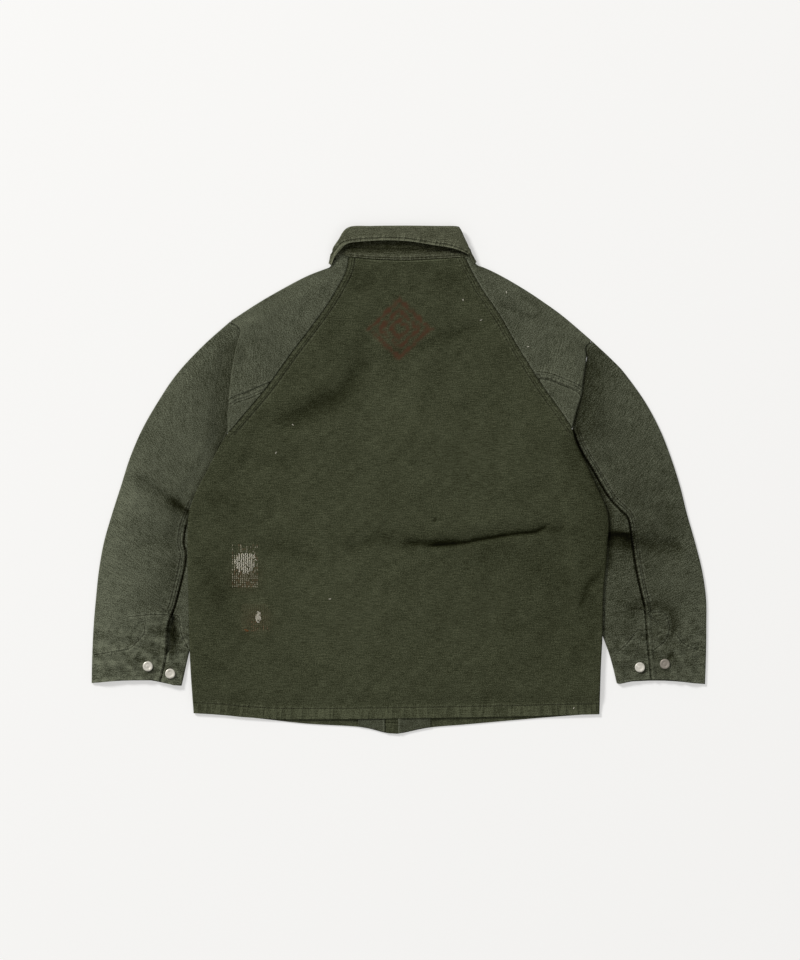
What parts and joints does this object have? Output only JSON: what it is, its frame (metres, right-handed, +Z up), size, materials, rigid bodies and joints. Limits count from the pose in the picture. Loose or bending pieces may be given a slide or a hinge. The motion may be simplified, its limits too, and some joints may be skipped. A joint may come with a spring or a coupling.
{
  "type": "canvas raglan work jacket laid face down",
  "caption": "Unlined canvas work jacket with raglan sleeves, folded collar and press studs at the cuffs, worn and darned, lying flat with its back up.",
  "frame": {"origin": "on the floor under the middle of the jacket's box", "axes": "+X towards the wearer's right sleeve, +Y towards the collar, +Z up, out of the back"},
  "size_m": [0.9222, 0.7618, 0.0144],
  "materials": {
    "canvas_back": "matt olive canvas, washed and stained, darned in two places",
    "canvas_sleeve": "matt olive canvas, faded and rubbed along its creases",
    "canvas_collar": "matt olive canvas, faded, rubbed at its edge",
    "snap_metal": "worn nickel plate, warm where the brass shows through"
  },
  "bodies": {
    "root": {"back_panel": "canvas_back", "front_left": "canvas_back", "front_right": "canvas_back", "facing_left": "canvas_sleeve", "facing_right": "canvas_sleeve", "shoulder_left": "canvas_sleeve", "shoulder_right": "canvas_sleeve", "sleeve_head_left": "canvas_sleeve", "sleeve_head_right": "canvas_sleeve", "upper_sleeve_left": "canvas_sleeve", "upper_sleeve_right": "canvas_sleeve", "under_sleeve_left": "canvas_sleeve", "under_sleeve_right": "canvas_sleeve", "collar": "canvas_collar", "snap_left_outer": "snap_metal", "snap_left_inner": "snap_metal", "snap_right_inner": "snap_metal", "snap_right_outer": "snap_metal"}
  },
  "joints": []
}
